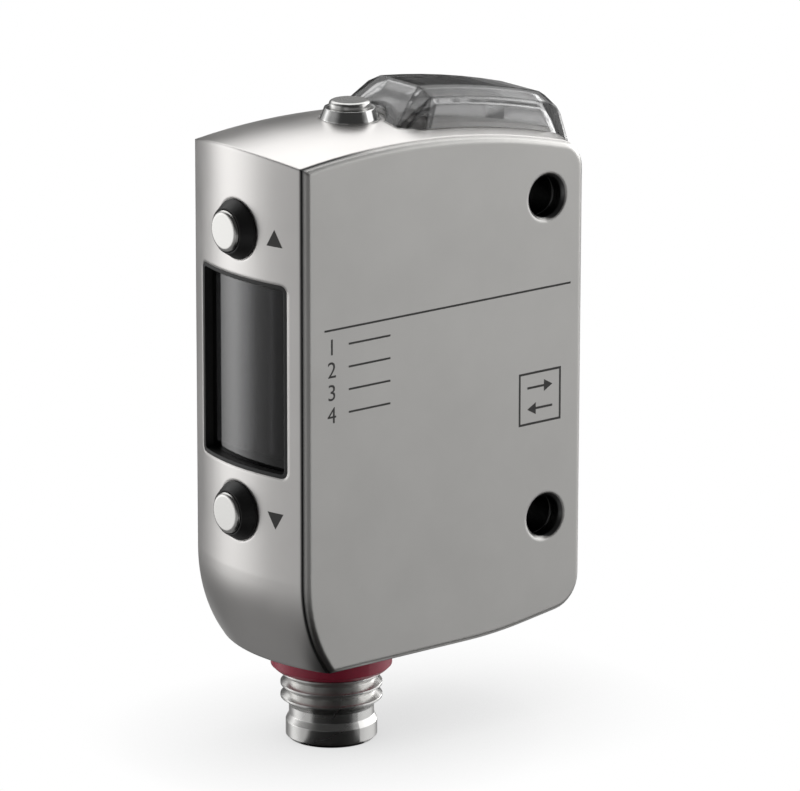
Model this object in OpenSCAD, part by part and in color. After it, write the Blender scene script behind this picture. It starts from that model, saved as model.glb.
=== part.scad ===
/* [Housing] */
// Thickness of the housing, from the label side to the blank side
body_w = 13.7; // [13.3:0.1:15]
// From the line of the mounting holes to the lens face
hole_to_front = 3.6; // [3.4:0.1:4.4]
// From the line of the mounting holes to the upright edges of the display face
hole_to_back = 23.3; // [22.9:0.1:26]
// From the lower mounting hole to the flat underside
hole_to_bottom = 8.7; // [8.4:0.1:10]
// From the upper mounting hole to the highest point of the top
hole_to_top = 7; // [6.9:0.1:8]
// How far the middle of the display face stands out past its upright edges
back_bulge = 1.35; // [1:0.05:1.6]
// Arc of the top, seen from the label side
crown_r = 65; // [55:1:90]
// Arc of the top, seen from the display side
crown_side_r = 25.2; // [22:0.2:32]
// From the line of the mounting holes back to the top of the crown
crown_back = 14.3; // [13:0.1:15.5]
// Radius that turns the display face under, at its upright edges
chin_r = 12.4; // [11.6:0.1:13]
// How far below the origin the display face starts to turn under
chin_drop = 14; // [13.6:0.1:14.6]
// Radius of the upper corner above the lens face
top_corner_r = 2.2; // [2:0.1:2.6]
// Radius of the lower corner below the lens face
low_corner_r = 2.6; // [2:0.1:3.2]
// Angle at which the underside rises towards the lens face
toe_angle = 8; // [5:0.5:11]
// From the line of the mounting holes back to where that rise begins
toe_back = 4.7; // [4.5:0.1:6]
// Radius of the gentle bend there
toe_r = 40; // [25:5:50]
// Radius of the two upright edges of the lens face
edge_r = 0.5; // [0.3:0.05:0.7]
// Thickness of the sides, the top and the underside
wall = 1.2; // [1.1:0.05:1.3]
// Thickness of the front wall around the lens window
front_wall = 2; // [1.9:0.05:2.2]
// Thickness of the display face at its upright edges
back_wall = 1.7; // [1.6:0.05:1.9]

/* [Side cover] */
// Thickness of the side cover's outer plate and the depth of its sloped edge
plate_t = 0.3; // [0.3:0.05:0.5]
// Depth of the step on the inside of the side cover
lip_t = 1; // [0.8:0.05:1.2]
// Thickness of the seal under the side cover
seal_t = 0.3; // [0.2:0.05:0.4]
// Open joint line between the case and the side cover
joint_gap = 0.15; // [0.1:0.05:0.2]
// Width of the rim outside that seal, and of the ring round each mounting hole
rim_w = 0.4; // [0.3:0.05:0.5]

/* [Mounting holes] */
// Distance between the two mounting holes
hole_pitch = 25.4; // [25:0.1:26.4]
// Diameter of each mounting hole
hole_d = 3.2; // [3:0.1:3.4]
// Width of the chamfer round each hole's mouth
hole_chamfer = 0.3; // [0.2:0.05:0.4]
// Diameter of the post round each hole
post_d = 4.8; // [4.6:0.1:5]

/* [Buttons] */
// Diameter of each button's cap
cap_d = 3.2; // [3:0.1:3.4]
// How far the up and down caps stand out of the display face
cap_proud = 1.25; // [1.1:0.05:1.5]
// How far the set cap stands out of the top
set_proud = 1.35; // [1.2:0.05:1.6]
// Rounded edge of each cap
cap_edge_r = 0.3; // [0.2:0.05:0.5]
// Depth that each button can be pushed
press = 0.3; // [0.2:0.05:0.4]
// Height of the up button above the origin
up_z = 12.65; // [12.5:0.05:13]
// Depth of the down button below the origin
down_drop = 9.32; // [9.2:0.05:9.8]
// From the line of the mounting holes back to the set button
set_back = 13.8; // [13.6:0.1:14.2]
// Diameter of the rubber boot round the up and down buttons
button_seal_d = 4.6; // [4.4:0.1:4.9]
// How far that boot stands out of the display face
button_seal_proud = 0.95; // [0.6:0.05:1.1]
// How far its straight foot stands out, before it narrows
button_seal_foot = 0.12; // [0.05:0.01:0.3]
// How deep the boot sits in the display face
button_seal_depth = 0.8; // [0.6:0.05:1]
// Diameter of the collar round the set button
collar_d = 4.6; // [4.4:0.1:4.8]
// Height of that collar above the top
collar_h = 0.8; // [0.5:0.05:1]
// Diameter of the foot that keeps a button in its hole
foot_d = 4.2; // [4:0.1:4.4]
// Thickness of that foot
foot_t = 0.6; // [0.5:0.05:0.7]

/* [Display] */
// Width of the opening for the display
display_w = 10.4; // [10:0.1:10.6]
// Height of that opening
display_h = 14.95; // [14.5:0.05:15.3]
// Height of the opening's centre above the origin
display_z = 1.6; // [1.4:0.05:1.8]
// Corner radius of the opening
display_corner_r = 0.6; // [0.4:0.05:0.8]
// Thickness of the window at its upright edges
display_t = 0.6; // [0.5:0.05:0.7]
// How far the window lies behind the display face
display_recess = 0.75; // [0.5:0.05:0.85]
// Width of the black frame round the window
display_frame_w = 0.3; // [0.2:0.05:0.4]
// Width of the ledge that the window rests on
display_ledge = 0.9; // [0.7:0.05:1]
// Thickness of the gaskets behind the two windows
gasket_t = 0.3; // [0.2:0.05:0.35]

/* [Lens window] */
// Width of the lens window
lens_window_w = 9.8; // [9.4:0.1:9.9]
// Height of the lens window
lens_window_h = 19.6; // [19:0.1:20]
// Thickness of the lens window
lens_window_t = 0.9; // [0.8:0.05:1]
// How far the lens window is set back from the lens face
lens_window_inset = 0.1; // [0.05:0.05:0.2]
// Corner radius of the lens window
lens_window_corner_r = 1; // [0.8:0.1:1.4]
// Width of the ledge behind the lens window
lens_ledge = 0.8; // [0.6:0.05:0.85]

/* [Optics] */
// Height of the laser's axis above the origin
emitter_z = 5.6; // [5.4:0.1:5.8]
// Radius of the laser's lens
emitter_r = 2.6; // [2.4:0.05:2.7]
// Depth of the receiving axis below the origin
receiver_drop = 3.6; // [3.4:0.1:3.8]
// Radius of the receiving lens
receiver_r = 3.8; // [3.6:0.05:3.85]
// Length of the optics holder along the beam
holder_l = 10.2; // [10:0.1:10.6]
// Width of the optics holder
holder_w = 8.9; // [8.8:0.05:9]
// Height of the optics holder
holder_h = 19; // [18.8:0.1:19.2]
// Diameter of the laser diode's flange
diode_d = 3.8; // [3.6:0.1:4]

/* [Indicator] */
// Width of the indicator at the top of the housing
lamp_w = 9.9; // [9.6:0.1:10]
// Width of the indicator across its shoulders
lamp_shoulder_w = 7.6; // [7.2:0.1:7.8]
// Width of the indicator's flat top
lamp_top_w = 4.6; // [4.4:0.1:5]
// Height of the indicator above the crown line
lamp_h = 2.4; // [2.2:0.05:2.5]
// How far its shoulders lie below its flat top
lamp_bevel_h = 0.68; // [0.5:0.04:0.8]
// From the line of the mounting holes back to the indicator's foot
lamp_back = 12.5; // [12.3:0.1:12.7]
// From the line of the mounting holes back to the start of its flat top
lamp_top_back = 9; // [8.8:0.1:9.4]
// How far the indicator stands out past the lens face
lamp_front_proud = 0.4; // [0.4:0.05:0.6]
// Height of the indicator's lower end, above the origin
lamp_low_z = 14.2; // [14:0.1:14.5]
// Depth that the indicator is let into the housing
lamp_seat = 0.5; // [0.4:0.05:0.6]
// Wall thickness of the indicator
lamp_wall = 0.8; // [0.7:0.05:0.9]
// Radius of the hollow that clears the set button
lamp_scallop_r = 2.75; // [2.7:0.05:2.9]

/* [Boards] */
// Thickness of each circuit board
board_t = 0.8; // [0.7:0.05:0.9]
// Thickness of the flexible strips between the boards
flex_t = 0.15; // [0.1:0.05:0.2]

/* [Connector] */
// From the line of the mounting holes back to the connector's axis
plug_back = 15.65; // [15.4:0.05:15.9]
// Outer diameter of the red ring
ring_d = 9.4; // [9:0.1:9.8]
// Height of the red ring
ring_h = 2; // [2:0.1:2.4]
// Outer diameter of the connector's thread
thread_d = 7.9; // [7.8:0.05:8]
// Depth of the thread
thread_depth = 0.55; // [0.4:0.05:0.6]
// Spacing of the thread's turns
thread_pitch = 1; // [0.9:0.05:1.05]
// Length of the threaded stretch
thread_l = 2.8; // [2.7:0.05:3]
// Diameter of the neck below the thread
neck_d = 6.6; // [6.4:0.1:6.7]
// Length of that neck
neck_l = 1.2; // [1:0.1:1.4]
// Diameter of the collar at the connector's end
snap_d = 7.1; // [6.9:0.1:7.3]
// Length of that collar
snap_l = 1.65; // [1.5:0.05:1.9]
// Inner diameter of the connector's shell
socket_d = 5.5; // [5.4:0.05:5.6]
// Diameter of each contact pin
pin_d = 1; // [0.9:0.05:1.05]
// Radius of the circle that the four pins stand on
pin_circle_r = 1.4; // [1.3:0.05:1.5]

/* [Hidden] */
$fn = 96;

// Gap round a piece that is let into another
fit = 0.02;
// Gap round a button's cap, which has to slide
slide_gap = 0.05;
// Gap left open where two pieces must never touch
air = 0.1;
// Gap between a board's edge and the side cover
cover_air = 0.45;
// Reach of a cut past the face that it opens
over = 1;
// Farther than any outer face
far = 60;
// How far a straight runs inside the arc that it joins, so that the two cross cleanly
crossing = 0.003;

half_w = body_w / 2;
front_y = hole_to_front;
back_y = -hole_to_back;
face_y = back_y - back_bulge;
bottom_z = -hole_pitch / 2 - hole_to_bottom;
crown_z = hole_pitch / 2 + hole_to_top;
down_z = -down_drop;
set_y = -set_back;
plug_y = -plug_back;

// Plan arc of the display face and where its centre lies
plan_r = (half_w * half_w + back_bulge * back_bulge) / (2 * back_bulge);
plan_y = face_y + plan_r;

// The crown's two arcs, and how far it has fallen at the long sides
crown_y = -crown_back;
crown_axis_z = crown_z - crown_r;
crown_core = crown_r - crown_side_r;
side_drop = crown_side_r - sqrt(pow(crown_side_r, 2) - pow(half_w, 2));
crown_edge_r = crown_r - side_drop;

// Centre of the upper front corner, which the crown's edge runs into
top_corner_y = front_y - top_corner_r;
top_corner_reach = crown_edge_r - top_corner_r;
top_corner_z = crown_axis_z + sqrt(pow(top_corner_reach, 2) - pow(top_corner_y - crown_y, 2));
top_corner_tilt = asin((top_corner_y - crown_y) / top_corner_reach);

// Centre of the lower front corner, which the rising underside runs into
low_corner_y = front_y - low_corner_r;
low_corner_z = bottom_z + (low_corner_y + toe_back) * tan(toe_angle) + low_corner_r / cos(toe_angle);
toe_bend_y = -toe_back - toe_r * tan(toe_angle / 2);
toe_bend_z = bottom_z + toe_r;

chin_y = back_y + chin_r;
chin_z = -chin_drop;

// Inner faces of the housing
blank_x = -half_w + wall;
cover_x = half_w - plate_t;
rim_x = cover_x - seal_t;
lip_x = cover_x - lip_t;
inner_front_y = front_y - front_wall;
inner_back_y = back_y + back_wall;
inner_bottom_z = bottom_z + wall;

// Places of the windows
glass_r = plan_r - display_recess;
glass_w = display_w - 2 * display_frame_w;
glass_h = display_h - 2 * display_frame_w;
glass_corner_r = display_corner_r / 2;
display_back_y = plan_y - sqrt(pow(glass_r, 2) - pow(glass_w / 2, 2)) + display_t;
display_floor_y = display_back_y + gasket_t;
lens_window_y = front_y - lens_window_inset - lens_window_t;
lens_floor_y = lens_window_y - gasket_t;

// Places along the buttons
cap_r = cap_d / 2;
guide_r = cap_r + slide_gap;
face_cap_y = face_y - cap_proud;
foot_y = inner_back_y + slide_gap;
set_cap_z = crown_z + set_proud;
set_foot_z = crown_z - wall - 0.18;

// Face switches stand on the display board, and the set switch on the top board
switch_w = 3.5;
switch_h = 1.2;
plunger_r = 0.8;
plunger_h = 0.2;
display_board_y = foot_y + foot_t + press + slide_gap + plunger_h + switch_h;
top_board_z = set_foot_z - foot_t - press - slide_gap - plunger_h - switch_h;

// Optics and the boards next to them
holder_front_y = inner_front_y;
holder_back_y = holder_front_y - holder_l;
receiver_z = -receiver_drop;
main_board_x = blank_x + 1.5;
main_board_back_y = display_board_y + board_t + 1.1;
main_board_front_y = holder_back_y - board_t - 0.8;
main_board_low_z = -13.6;
main_board_top_z = 13.4;
strip_x = main_board_x + board_t;

// Places along the connector, from the housing's underside down
ring_low_z = bottom_z - ring_h;
thread_low_z = ring_low_z - thread_l;
snap_top_z = thread_low_z - neck_l;
plug_end_z = snap_top_z - snap_l;
plug_r = 3.4;
boss_h = 3;
boss_top_z = inner_bottom_z + boss_h;

// An outline in Y and Z pulled out along X, between two places
module along_x(x0, x1) {
  translate([x0, 0, 0])
    rotate([90, 0, 90])
      linear_extrude(x1 - x0)
        children();
}

// An outline in X and Z pulled out along Y, between two places
module along_y(y0, y1) {
  translate([0, y1, 0])
    rotate([90, 0, 0])
      linear_extrude(y1 - y0)
        children();
}

// A section of radius and X turned round a line along X
module round_x(y, z) {
  translate([0, y, z])
    rotate([0, 90, 0])
      rotate_extrude()
        children();
}

// A rod along each axis, between two places
module rod_x(r, x0, x1) {
  translate([x0, 0, 0])
    rotate([0, 90, 0])
      cylinder(r = r, h = x1 - x0);
}

module rod_y(r, y0, y1) {
  translate([0, y1, 0])
    rotate([90, 0, 0])
      cylinder(r = r, h = y1 - y0);
}

module rod_z(r, z0, z1) {
  translate([0, 0, z0])
    cylinder(r = r, h = z1 - z0);
}

// A box between two corners
module box(low, high) {
  translate(low)
    cube(high - low);
}

// A rectangle with round corners, about the origin
module round_rect(w, h, r) {
  square([w, h - 2 * r], center = true);
  square([w - 2 * r, h], center = true);
  for (x = [-1, 1])
    for (y = [-1, 1])
      translate([x * (w / 2 - r), y * (h / 2 - r)])
        circle(r = r);
}

// Points along an arc
function arc(cx, cy, r, a0, a1, steps) =
  [for (i = [0 : steps]) let (a = a0 + (a1 - a0) * i / steps) [cx + r * cos(a), cy + r * sin(a)]];

// Height of the crown line over a place along Y, on the middle plane
function crown_over(y) = crown_axis_z + sqrt(pow(crown_r, 2) - pow(y - crown_y, 2));

// Plan of the housing with all faces moved in by d
module plan(d) {
  intersection() {
    translate([0, plan_y])
      circle(r = plan_r - d, $fn = 180);
    union() {
      translate([-half_w + d, -far])
        square([body_w - 2 * d, far + front_y - edge_r]);
      translate([-half_w + edge_r, -far])
        square([body_w - 2 * edge_r, far + front_y - d]);
      if (d < edge_r)
        for (x = [-1, 1])
          translate([x * (half_w - edge_r), front_y - edge_r])
            circle(r = edge_r - d);
    }
  }
}

// Lower half of the housing's side view: flat underside, rising toe and round corner
module low_profile(d) {
  r = low_corner_r - d;
  tangent = [low_corner_y + r * sin(toe_angle), low_corner_z - r * cos(toe_angle)];
  meet = [tangent[0] - crossing * sin(toe_angle), tangent[1] + crossing * cos(toe_angle)];
  polygon(concat(
    [[-far, bottom_z + d]],
    arc(toe_bend_y, toe_bend_z, toe_r - d, -90, toe_angle - 90, 6),
    [
      meet, [low_corner_y, low_corner_z],
      [front_y - d, low_corner_z], [front_y - d, far], [-far, far]
    ]
  ));
  translate([low_corner_y, low_corner_z])
    circle(r = r);
}

// The crown's section, as radius and X about the crown's own axis
module crown_section(d) {
  translate([0, -half_w - over])
    square([crown_core, body_w + 2 * over]);
  intersection() {
    translate([crown_core, 0])
      circle(r = crown_side_r - d, $fn = 180);
    translate([0, -half_w - over])
      square([crown_r, body_w + 2 * over]);
  }
}

// The same section carried round the upper front corner
module corner_section(d) {
  intersection() {
    translate([crown_core - top_corner_reach, 0])
      circle(r = crown_side_r - d, $fn = 180);
    translate([0, -half_w - over])
      square([crown_r, body_w + 2 * over]);
  }
}

// What the upper front corner takes off the housing
module corner_wedge(d) {
  reach = 14;
  difference() {
    along_x(-half_w - 2 * over, half_w + 2 * over)
      polygon([
        [top_corner_y, top_corner_z],
        [top_corner_y + reach * sin(top_corner_tilt), top_corner_z + reach * cos(top_corner_tilt)],
        [top_corner_y + reach, top_corner_z + reach],
        [top_corner_y + reach, top_corner_z]
      ]);
    round_x(top_corner_y, top_corner_z)
      corner_section(d);
  }
}

// The housing's whole outer form with all faces moved in by d
module housing_form(d) {
  difference() {
    intersection() {
      union() {
        translate([0, 0, chin_z])
          linear_extrude(far)
            plan(d);
        round_x(chin_y, chin_z)
          intersection() {
            translate([chin_y - plan_y, 0])
              circle(r = plan_r - d, $fn = 180);
            translate([0, -half_w + d])
              square([far, body_w - 2 * d]);
          }
        translate([0, 0, -far])
          linear_extrude(far + chin_z)
            intersection() {
              plan(d);
              translate([-far, chin_y])
                square([2 * far, far]);
            }
      }
      round_x(crown_y, crown_axis_z)
        crown_section(d);
      along_x(-half_w, half_w)
        low_profile(d);
    }
    corner_wedge(d);
  }
}

// Side view of the housing at its long edge, with all faces moved in by d
module side_outline(d) {
  difference() {
    intersection() {
      low_profile(d);
      translate([crown_y, crown_axis_z])
        circle(r = crown_edge_r - d, $fn = 360);
      union() {
        translate([back_y + d, chin_z])
          square([far, far]);
        translate([chin_y, -far])
          square([far, 2 * far]);
        translate([chin_y, chin_z])
          circle(r = chin_r - d, $fn = 180);
      }
    }
    difference() {
      polygon([
        [top_corner_y, top_corner_z],
        [top_corner_y + 9 * sin(top_corner_tilt), top_corner_z + 9 * cos(top_corner_tilt)],
        [top_corner_y + 9, top_corner_z + 9],
        [top_corner_y + 9, top_corner_z]
      ]);
      translate([top_corner_y, top_corner_z])
        circle(r = top_corner_r - d);
    }
  }
}

// Outline of the housing's mouth, and of the side cover's step that sits in it
module lip_outline(gap) {
  intersection() {
    side_outline(wall + gap);
    translate([inner_back_y + gap, -far])
      square([inner_front_y - inner_back_y - 2 * gap, 2 * far]);
  }
}

// The side view as points, cut at the place x and moved in by d, for the side cover's sloped edge
function side_points(x, d) =
  let (
    crown_here = crown_core + sqrt(pow(crown_side_r, 2) - x * x),
    back_here = plan_y - sqrt(plan_r * plan_r - x * x),
    chin_here = chin_y - back_here - d,
    low_z = bottom_z + d,
    back_angle = acos((back_here + d - crown_y) / (crown_here - d)),
    chin_angle = 180 - asin((low_z - chin_z) / chin_here)
  )
  concat(
    arc(crown_y, crown_axis_z, crown_here - d, back_angle, 90 - top_corner_tilt, 16),
    arc(top_corner_y, top_corner_z, crown_here - top_corner_reach - d, 90 - top_corner_tilt, 0, 8),
    arc(low_corner_y, low_corner_z, low_corner_r - d, 0, toe_angle - 90, 8),
    arc(toe_bend_y, toe_bend_z, toe_r - d, toe_angle - 90, -90, 6),
    arc(chin_y, chin_z, chin_here, chin_angle, 180, 12)
  );

// Both mounting holes' places along Z
module at_holes() {
  for (z = [-hole_pitch / 2, hole_pitch / 2])
    translate([0, 0, z])
      children();
}

// Pocket and opening of the display window
module display_cut() {
  translate([0, 0, display_z]) {
    along_y(face_y - over, display_floor_y)
      round_rect(display_w + 2 * fit, display_h + 2 * fit, display_corner_r);
    along_y(face_y - over, inner_back_y + over)
      square([display_w - 2 * display_ledge, display_h - 2 * display_ledge], center = true);
  }
}

// Pocket and opening of the lens window
module lens_cut() {
  along_y(lens_floor_y, front_y + over)
    round_rect(lens_window_w + 2 * fit, lens_window_h + 2 * fit, lens_window_corner_r);
  along_y(inner_front_y - over, front_y + over)
    square([lens_window_w - 2 * lens_ledge, lens_window_h - 2 * lens_ledge], center = true);
}

// Hole and ring seat of one button in the display face
module face_button_cut(z) {
  translate([0, 0, z]) {
    rod_y(guide_r, face_y - over, inner_back_y + over);
    rod_y(button_seal_d / 2, face_y - over, face_y + button_seal_depth);
  }
}

// Sunk seat of the set button's collar
collar_depth = 0.6;

module set_cut() {
  translate([0, set_y, 0]) {
    rod_z(guide_r, set_foot_z - over, crown_z + over);
    rod_z(collar_d / 2, crown_z - collar_depth, crown_z + over);
  }
}

// Length of the indicator's sloped back end, how far its foot draws in there, and its front rounding
lamp_nose = 2;
lamp_back_in = 0.55;
lamp_round = 1.1;

// One slice across the indicator, as half widths and heights
module lamp_slice(y, foot, shoulder, shoulder_z, top, top_z) {
  along_y(y - 0.01, y)
    polygon([
      [-foot, lamp_low_z], [-foot, crown_over(y) - side_drop], [-shoulder, shoulder_z], [-top, top_z],
      [top, top_z], [shoulder, shoulder_z], [foot, crown_over(y) - side_drop], [foot, lamp_low_z]
    ]);
}

// The indicator's outer form with all faces moved in by d
module lamp_form(d) {
  back_y = -lamp_back + d;
  shoulder_y = back_y + lamp_nose;
  foot = lamp_w / 2 - d;
  shoulder = lamp_shoulder_w / 2 - d;
  top = lamp_top_w / 2 - d / 2;
  rise = lamp_h - d;
  step = lamp_bevel_h;
  lamp_front_y = front_y + lamp_front_proud - d;
  top_start = -lamp_top_back + d;
  top_end = lamp_front_y - lamp_round;
  hull() {
    lamp_slice(
      back_y, foot - lamp_back_in, foot - 2 * lamp_back_in,
      crown_over(back_y) - side_drop / 2, lamp_back_in, crown_over(back_y) - side_drop / 3
    );
    lamp_slice(
      shoulder_y, foot, shoulder - lamp_back_in,
      crown_over(shoulder_y) + rise - 2.4 * step, top - lamp_back_in, crown_over(shoulder_y) + rise - 1.8 * step
    );
    for (i = [0 : 6]) {
      y = top_start + (top_end - top_start) * i / 6;
      lamp_slice(y, foot, shoulder, crown_over(y) + rise - step, top, crown_over(y) + rise);
    }
    for (a = [30, 60, 90]) {
      y = top_end + lamp_round * sin(a);
      drop = 1.4 * lamp_round * (1 - cos(a));
      lamp_slice(y, foot - 0.6 * (1 - cos(a)), shoulder, crown_over(y) + rise - step - drop, top, crown_over(y) + rise - drop);
    }
  }
}

// The indicator's hollow, with all faces moved in by d; its lower front end stays solid
module lamp_hollow(d) {
  difference() {
    lamp_form(lamp_wall + d);
    box([-far, front_y - lamp_wall - d, -far], [far, far, lamp_low_z + lamp_wall + d]);
    translate([0, set_y, 0])
      rod_z(lamp_scallop_r + lamp_wall + d, 0, far);
  }
}

// The groove that the indicator's edge and its seal sit in
module lamp_seat_cut() {
  difference() {
    lamp_form(-fit);
    lamp_hollow(fit);
    housing_form(lamp_seat + seal_t);
    translate([0, set_y, 0])
      rod_z(lamp_scallop_r - fit, 0, far);
  }
}

// Way through the top for the light guide
guide_w = 3.8;
guide_back = 7.6;
guide_front = -0.6;

module light_opening() {
  box([-guide_w / 2 - fit, -guide_back - fit, top_board_z], [guide_w / 2 + fit, guide_front + fit, far]);
}

// The cast main case: display face, top, underside, lens frame and blank side
module main_case() {
  color([0.68, 0.68, 0.66])
    difference() {
      union() {
        difference() {
          intersection() {
            housing_form(0);
            box([-half_w - over, -far, -far], [cover_x - joint_gap, far, far]);
          }
          intersection() {
            housing_form(wall);
            box([blank_x, inner_back_y, -far], [far, inner_front_y, far]);
          }
          along_x(lip_x, far)
            lip_outline(0);
          along_x(rim_x, far)
            side_outline(rim_w);
          at_holes()
            rod_x(hole_d / 2 + rim_w, lip_x, far);
        }
        at_holes()
          rod_x(post_d / 2, -half_w + wall / 2, lip_x);
        case_supports();
      }
      at_holes() {
        rod_x(hole_d / 2, -half_w - over, half_w + over);
        translate([-half_w, 0, 0])
          rotate([0, 90, 0])
            cylinder(r1 = hole_d / 2 + hole_chamfer, r2 = hole_d / 2, h = hole_chamfer);
      }
      display_cut();
      lens_cut();
      face_button_cut(up_z);
      face_button_cut(down_z);
      set_cut();
      lamp_seat_cut();
      light_opening();
      translate([0, plug_y, 0])
        rod_z(plug_r, bottom_z - over, boss_top_z + over);
    }
}

// Posts, ledges and the connector's boss, all cast with the case
module case_supports() {
  post_r = 0.9;
  for (y = [main_board_back_y + post_r, main_board_front_y - post_r])
    for (z = [main_board_low_z + post_r, main_board_top_z - post_r])
      translate([0, y, z])
        rod_x(post_r, blank_x - wall / 2, main_board_x);
  box([blank_x - wall / 2, set_y - 2, top_board_z - board_t - 0.8], [blank_x + 1.2, set_y + 8, top_board_z - board_t]);
  for (z = [display_z - 8, display_z + 6])
    box([blank_x - wall / 2, display_board_y + board_t, z], [blank_x + 1, display_board_y + board_t + 0.8, z + 2]);
  for (z = [-holder_h / 2 + 1.5, holder_h / 2 - 1.5])
    translate([0, holder_back_y + holder_l / 2, z])
      rod_x(post_r, blank_x - wall / 2, -holder_w / 2);
  translate([0, plug_y, 0])
    rod_z(plug_r + wall, bottom_z + wall / 2, boss_top_z);
}

// The side cover that carries the label face, with a sloped edge, an inner step and a ring round each hole
module side_cover() {
  color([0.64, 0.64, 0.62])
    difference() {
      union() {
        hull() {
          along_x(cover_x, cover_x + 0.01)
            polygon(side_points(cover_x, 0));
          along_x(half_w - 0.01, half_w)
            polygon(side_points(half_w, plate_t));
        }
        along_x(lip_x, cover_x + 0.01)
          lip_outline(slide_gap);
        at_holes()
          rod_x(hole_d / 2 + rim_w - slide_gap, lip_x, cover_x + 0.01);
      }
      at_holes() {
        rod_x(hole_d / 2, 0, half_w + over);
        translate([half_w - hole_chamfer, 0, 0])
          rotate([0, 90, 0])
            cylinder(r1 = hole_d / 2, r2 = hole_d / 2 + 2 * hole_chamfer, h = 2 * hole_chamfer);
      }
    }
}

// Seal between the side cover's plate and the case
module cover_seal() {
  color([0.1, 0.1, 0.1])
    difference() {
      along_x(rim_x, cover_x)
        difference() {
          side_outline(rim_w + slide_gap);
          lip_outline(0);
        }
      at_holes()
        rod_x(hole_d / 2 + rim_w, 0, far);
    }
}

module lens_window() {
  color([0.12, 0.05, 0.06])
    along_y(lens_window_y, lens_window_y + lens_window_t)
      round_rect(lens_window_w, lens_window_h, lens_window_corner_r);
}

module window_gasket() {
  color([0.08, 0.08, 0.08])
    along_y(lens_floor_y, lens_window_y)
      difference() {
        round_rect(lens_window_w, lens_window_h, lens_window_corner_r);
        square([lens_window_w - 2 * lens_ledge, lens_window_h - 2 * lens_ledge], center = true);
      }
}

// Depths of the optics, measured along the beam from the holder's front face
lens_recess = 0.3;
emitter_rim = 0.9;
receiver_rim = 1.1;
emitter_bulge_t = 0.8;
receiver_bulge_t = 1.2;
diode_flange_t = 0.8;
diode_can_r = 1.4;
diode_can_l = 2.4;
lens_stop = 0.5;

// A lens with a flat front, a straight rim and a domed back
module lens(r, rim, bulge) {
  ball_r = (r * r + bulge * bulge) / (2 * bulge);
  front = holder_front_y - lens_recess;
  intersection() {
    rod_y(r - fit, front - rim - bulge, front);
    translate([0, front - rim - bulge + ball_r, 0])
      sphere(r = ball_r);
  }
}

// Where a lens sits: a straight bore for its rim, then a cone down to the light's way
module lens_seat(r, rim) {
  seat_y = holder_front_y - lens_recess - rim;
  rod_y(r, seat_y, holder_front_y + over);
  translate([0, seat_y, 0])
    rotate([90, 0, 0])
      cylinder(r1 = r, r2 = r - lens_stop, h = lens_stop);
}

module optics_holder() {
  color([0.12, 0.12, 0.13])
    difference() {
      box([-holder_w / 2, holder_back_y, -holder_h / 2], [holder_w / 2, holder_front_y, holder_h / 2]);
      translate([0, 0, receiver_z]) {
        lens_seat(receiver_r, receiver_rim);
        rod_y(receiver_r - lens_stop, holder_back_y - over, holder_front_y);
      }
      translate([0, 0, emitter_z]) {
        lens_seat(emitter_r, emitter_rim);
        rod_y(diode_d / 2, holder_back_y - over, holder_back_y + diode_flange_t);
        rod_y(diode_can_r + fit, holder_back_y, holder_front_y);
        rod_y(emitter_r - lens_stop, holder_back_y + diode_flange_t + diode_can_l, holder_front_y);
      }
    }
}

module emitter_lens() {
  color([0.75, 0.82, 0.85, 0.6])
    translate([0, 0, emitter_z])
      lens(emitter_r, emitter_rim, emitter_bulge_t);
}

module receiver_lens() {
  color([0.75, 0.82, 0.85, 0.6])
    translate([0, 0, receiver_z])
      lens(receiver_r, receiver_rim, receiver_bulge_t);
}

// Leads of the laser diode, as places across its axis
lead_r = 0.2;
lead_reach = 1.3;
leads = [[-0.7, 0], [0.7, 0], [0, -0.7]];

module laser_diode() {
  color([0.8, 0.72, 0.45])
    translate([0, 0, emitter_z]) {
      rod_y(diode_d / 2 - fit, holder_back_y, holder_back_y + diode_flange_t);
      rod_y(diode_can_r, holder_back_y + diode_flange_t, holder_back_y + diode_flange_t + diode_can_l);
      for (p = leads)
        translate([p[0], 0, p[1]])
          rod_y(lead_r, holder_back_y - lead_reach, holder_back_y);
    }
}

sensor_w = 5.2;
sensor_h = 3.2;
sensor_t = 0.9;

module image_sensor() {
  color([0.15, 0.15, 0.2])
    translate([0, 0, receiver_z])
      box([-sensor_w / 2, holder_back_y, -sensor_h / 2], [sensor_w / 2, holder_back_y + sensor_t, sensor_h / 2]);
}

module sensor_board() {
  color([0.1, 0.35, 0.2])
    difference() {
      box([-holder_w / 2, holder_back_y - board_t, -holder_h / 2], [holder_w / 2, holder_back_y, holder_h / 2]);
      for (p = leads)
        translate([p[0], 0, emitter_z + p[1]])
          rod_y(lead_r + fit, holder_back_y - board_t - over, holder_back_y + over);
    }
}

module main_board() {
  color([0.1, 0.35, 0.2])
    box([main_board_x, main_board_back_y, main_board_low_z], [main_board_x + board_t, main_board_front_y, main_board_top_z]);
}

// Chips on the main board: place of the centre in Y and Z, then width, height and thickness
chips = [
  [0.3, -1, 4.6, 4.6, 0.9],
  [0, 6.2, 3.8, 5, 1.1],
  [-0.4, -6.6, 3, 3, 0.8],
  [1.6, -9.4, 1.2, 2, 0.7],
  [-1.6, 10.4, 1.2, 2, 0.7]
];

module board_chips() {
  mid_y = (main_board_back_y + main_board_front_y) / 2;
  color([0.13, 0.13, 0.14])
    for (c = chips)
      box(
        [strip_x, mid_y + c[0] - c[2] / 2, c[1] - c[3] / 2],
        [strip_x + c[4], mid_y + c[0] + c[2] / 2, c[1] + c[3] / 2]
      );
}

module display_board() {
  color([0.1, 0.35, 0.2])
    box(
      [blank_x, display_board_y, down_z - switch_w],
      [lip_x - cover_air, display_board_y + board_t, up_z + switch_w / 2 + cover_air]
    );
}

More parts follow.
